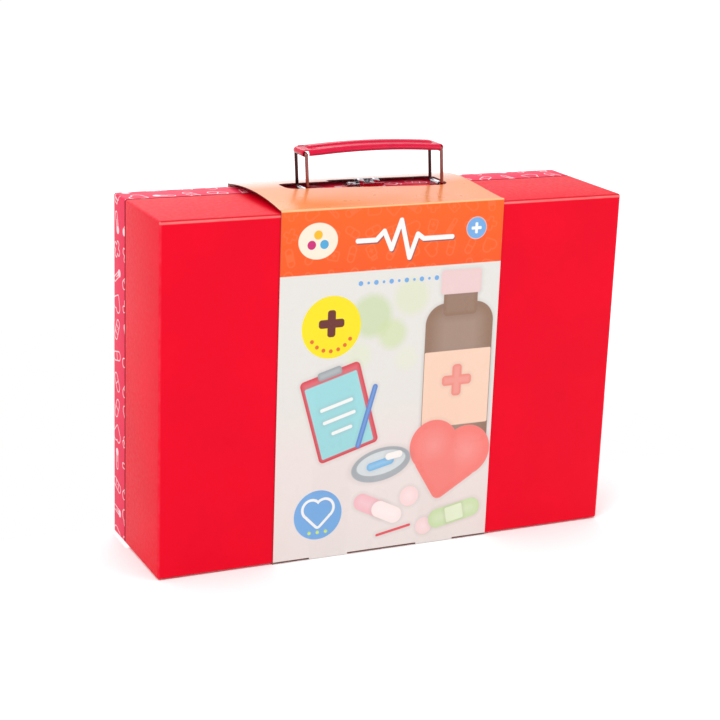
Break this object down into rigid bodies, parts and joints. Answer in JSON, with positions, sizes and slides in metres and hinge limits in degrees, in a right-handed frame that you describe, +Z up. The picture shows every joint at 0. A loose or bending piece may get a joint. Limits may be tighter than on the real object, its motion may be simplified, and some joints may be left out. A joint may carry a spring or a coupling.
{
  "type": "toy doctor case",
  "caption": "Paper-covered board case for a pretend doctor's kit, with a hinged lid, a folding wire-link handle, a hasp clasp and a printed card sleeve that slides off.",
  "frame": {"origin": "on the floor, under the middle of the whole object", "axes": "+X along the case, +Y from its front face to its lid, +Z up"},
  "size_m": [0.3, 0.085, 0.2452],
  "materials": {
    "base_shell": "satin red paper over board",
    "lid_shell": "satin printed paper over board",
    "rim_collar": "printed paper over board",
    "base_lining": "matt pale teal",
    "lid_lining": "matt pale teal",
    "hinge_cloth": "matt red bookcloth",
    "chromed_steel": "bright",
    "backing_steel": "plain zinc plated",
    "grip_lacquer": "glossy red",
    "printed_card": "glossy printed card"
  },
  "bodies": {
    "base": {"base_shell": "base_shell", "base_lining": "base_lining", "rim_collar": "rim_collar", "hinge_strip_base": "hinge_cloth", "handle_clip_left": "chromed_steel", "handle_clip_right": "chromed_steel", "clip_backing_left": "backing_steel", "clip_backing_right": "backing_steel", "catch_plate": "chromed_steel", "catch_rivet_left": "chromed_steel", "catch_rivet_right": "chromed_steel"},
    "lid": {"lid_shell": "lid_shell", "lid_lining": "lid_lining", "hinge_strip_lid": "hinge_cloth", "lid_plate": "chromed_steel", "lid_rivet_left": "chromed_steel", "lid_rivet_right": "chromed_steel", "hasp_pin": "chromed_steel"},
    "hasp": {"hasp": "chromed_steel"},
    "link_left": {"handle_link_left": "chromed_steel"},
    "link_right": {"handle_link_right": "chromed_steel"},
    "grip": {"handle_grip": "grip_lacquer"},
    "sleeve": {"card_sleeve": "printed_card"}
  },
  "joints": [
    {"name": "lid_hinge", "type": "hinge", "parent": "base", "child": "lid", "pos_m": [0, 0.01918, 0.00065], "axis": [-1, 0, 0], "range_deg": [0, 100]},
    {"name": "sleeve_slide", "type": "slide", "parent": "base", "child": "sleeve", "axis": [-1, 0, 0], "range_m": [0, 0.23], "deforming": ["card_sleeve"]},
    {"name": "handle_fold", "type": "hinge", "parent": "base", "child": "link_left", "pos_m": [-0.042, 0.01038, 0.21695], "axis": [0, 1, 0], "range_deg": [-71, 49]},
    {"name": "link_right_fold", "type": "hinge", "parent": "base", "child": "link_right", "pos_m": [0.048, 0.01038, 0.21695], "axis": [0, 1, 0], "range_deg": [-71, 49]},
    {"name": "grip_level", "type": "hinge", "parent": "link_left", "child": "grip", "pos_m": [-0.0436, 0.01038, 0.23989], "axis": [0, 1, 0], "range_deg": [-49, 71]},
    {"name": "hasp_hinge", "type": "hinge", "parent": "lid", "child": "hasp", "pos_m": [0.003, 0.02163, 0.2161], "axis": [-1, 0, 0], "range_deg": [0, 115]}
  ],
  "couplings": [
    {"joint": "sleeve_slide", "follows": "lid_hinge", "m_per_rad": 0.1317},
    {"joint": "link_right_fold", "follows": "handle_fold", "ratio": 1},
    {"joint": "grip_level", "follows": "handle_fold", "ratio": -1}
  ]
}
